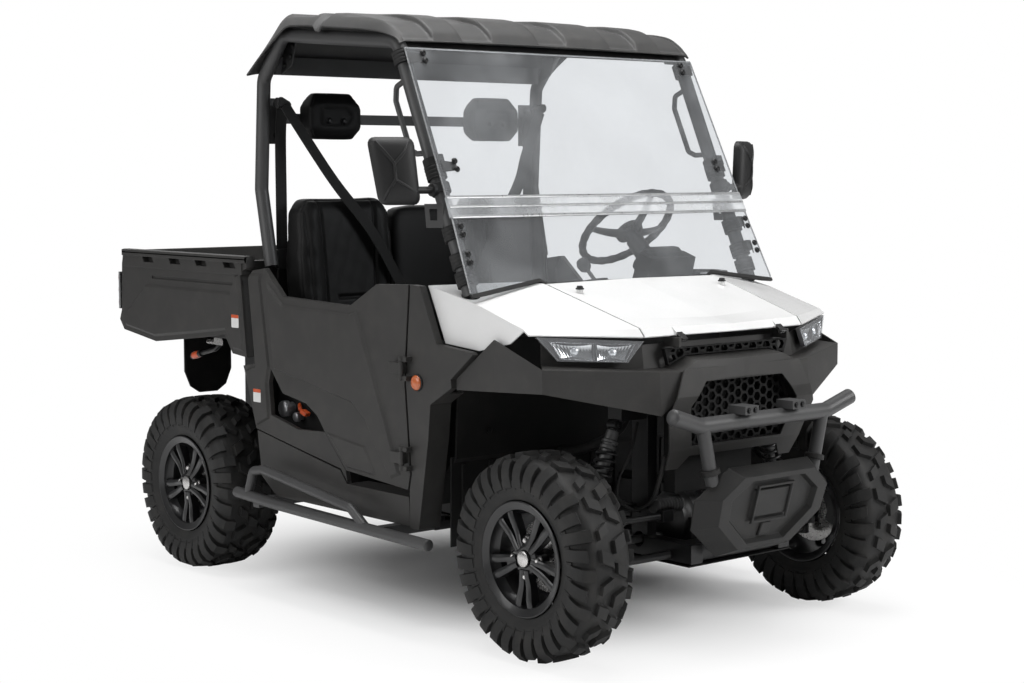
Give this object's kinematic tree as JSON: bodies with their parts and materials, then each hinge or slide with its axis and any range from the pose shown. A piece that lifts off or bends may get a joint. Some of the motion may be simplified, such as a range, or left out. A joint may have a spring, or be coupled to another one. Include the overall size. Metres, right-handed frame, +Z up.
{
  "type": "side by side utility vehicle",
  "caption": "Two-seat utility vehicle with steered front wheels, opening half doors and hood, roll cage with roof and windscreen, and a tipping cargo bed with drop tailgate.",
  "frame": {"origin": "on the floor under the middle of the vehicle's length and width", "axes": "+X forward, +Y the vehicle's left, +Z up"},
  "size_m": [2.754, 1.7306, 2.0076],
  "materials": {
    "moulded_black": "fine grained moulded charcoal plastic",
    "roof_black": "matt moulded roof skin",
    "white_paint": "gloss white",
    "frame_paint": "satin black powder coat",
    "tube_paint": "fine textured dark grey powder coat",
    "screen": "clear hard-coated polycarbonate",
    "clear_rail": "clear extruded rail",
    "rubber": "matt black rubber",
    "tyre": "black rubber",
    "wheel_black": "gloss black alloy",
    "seat": "black marine vinyl",
    "cast_metal": "bare casting",
    "steel": "zinc plated steel",
    "lamp": "clear lamp over a silvered reflector",
    "red_lamp": "red lamp lens",
    "grip": "moulded grip",
    "engine": "cast alloy",
    "amber_lamp": "amber lamp lens",
    "webbing": "black woven webbing"
  },
  "bodies": {
    "chassis": {"frame": "frame_paint", "engine": "engine", "muffler": "steel", "radiator": "engine", "floor": "moulded_black", "seat_box": "moulded_black", "dashboard": "moulded_black", "cage_right": "tube_paint", "cage_left": "tube_paint", "cage_bars": "tube_paint", "roof": "roof_black", "windscreen": "screen", "screen_channel": "clear_rail", "screen_clamps": "rubber", "fascia": "moulded_black", "upper_grille": "moulded_black", "lower_grille": "moulded_black", "headlamps": "lamp", "fenders": "white_paint", "front_cowls": "moulded_black", "rear_cowls": "moulded_black", "rockers": "moulded_black", "side_bars": "tube_paint", "front_bar": "tube_paint", "winch_cover": "moulded_black", "seat_cushions": "seat", "seat_backs": "seat", "headrests": "seat", "mirrors": "grip", "steering_column": "frame_paint", "front_arms": "frame_paint", "rear_arms": "frame_paint", "shocks": "steel", "drive_shafts": "cast_metal", "bed_pivots": "frame_paint", "filler_caps": "cast_metal", "signals": "amber_lamp", "seat_belts": "webbing"},
    "tie_rods": {"tie_rods": "steel"},
    "steering_wheel": {"steering_wheel": "grip"},
    "knuckle_right": {"knuckle_right": "cast_metal"},
    "knuckle_left": {"knuckle_left": "cast_metal"},
    "wheel_front_right": {"rim_front_right": "wheel_black", "tyre_front_right": "tyre"},
    "wheel_front_left": {"rim_front_left": "wheel_black", "tyre_front_left": "tyre"},
    "wheel_rear_right": {"rim_rear_right": "wheel_black", "tyre_rear_right": "tyre"},
    "wheel_rear_left": {"rim_rear_left": "wheel_black", "tyre_rear_left": "tyre"},
    "door_right": {"door_right": "moulded_black"},
    "door_left": {"door_left": "moulded_black"},
    "hood": {"hood": "white_paint"},
    "bed": {"bed": "moulded_black", "tail_lamps": "red_lamp", "splash_flaps": "rubber", "release_lever": "steel"},
    "tailgate": {"tailgate": "moulded_black"}
  },
  "joints": [
    {"name": "steer_right", "type": "hinge", "parent": "chassis", "child": "knuckle_right", "pos_m": [0.9875, -0.56, 0.318], "axis": [0, 0, 1], "range_deg": [-30, 30]},
    {"name": "steer_left", "type": "hinge", "parent": "chassis", "child": "knuckle_left", "pos_m": [0.9875, 0.56, 0.318], "axis": [0, 0, 1], "range_deg": [-30, 30]},
    {"name": "steering_wheel_turn", "type": "hinge", "parent": "chassis", "child": "steering_wheel", "pos_m": [0.3125, 0.376, 1.265], "axis": [-0.6947, 0, 0.7193], "range_deg": [-270, 270]},
    {"name": "rack_slide", "type": "slide", "parent": "chassis", "child": "tie_rods", "axis": [0, 1, 0], "range_m": [-0.055, 0.055]},
    {"name": "roll_front_right", "type": "hinge", "parent": "knuckle_right", "child": "wheel_front_right", "pos_m": [0.9875, -0.627, 0.318], "axis": [0, 1, 0], "continuous": true},
    {"name": "roll_front_left", "type": "hinge", "parent": "knuckle_left", "child": "wheel_front_left", "pos_m": [0.9875, 0.627, 0.318], "axis": [0, 1, 0], "continuous": true},
    {"name": "roll_rear_right", "type": "hinge", "parent": "chassis", "child": "wheel_rear_right", "pos_m": [-0.8705, -0.6295, 0.318], "axis": [0, 1, 0], "continuous": true},
    {"name": "roll_rear_left", "type": "hinge", "parent": "chassis", "child": "wheel_rear_left", "pos_m": [-0.8705, 0.6295, 0.318], "axis": [0, 1, 0], "continuous": true},
    {"name": "door_right_hinge", "type": "hinge", "parent": "chassis", "child": "door_right", "pos_m": [0.4275, -0.728, 0.8], "axis": [0, 0, 1], "range_deg": [0, 70]},
    {"name": "door_left_hinge", "type": "hinge", "parent": "chassis", "child": "door_left", "pos_m": [0.4275, 0.728, 0.8], "axis": [0, 0, -1], "range_deg": [0, 70]},
    {"name": "hood_hinge", "type": "hinge", "parent": "chassis", "child": "hood", "pos_m": [1.1775, 0, 0.96], "axis": [0, 1, 0], "range_deg": [0, 55]},
    {"name": "bed_tip", "type": "hinge", "parent": "chassis", "child": "bed", "pos_m": [-1.2025, 0, 0.79], "axis": [0, -1, 0], "range_deg": [0, 45]},
    {"name": "tailgate_drop", "type": "hinge", "parent": "bed", "child": "tailgate", "pos_m": [-1.3575, 0, 0.88], "axis": [0, -1, 0], "range_deg": [0, 90]}
  ],
  "couplings": [
    {"joint": "steer_left", "follows": "steer_right", "ratio": 1},
    {"joint": "steering_wheel_turn", "follows": "steer_right", "ratio": 9},
    {"joint": "rack_slide", "follows": "steer_right", "m_per_rad": -0.1}
  ]
}
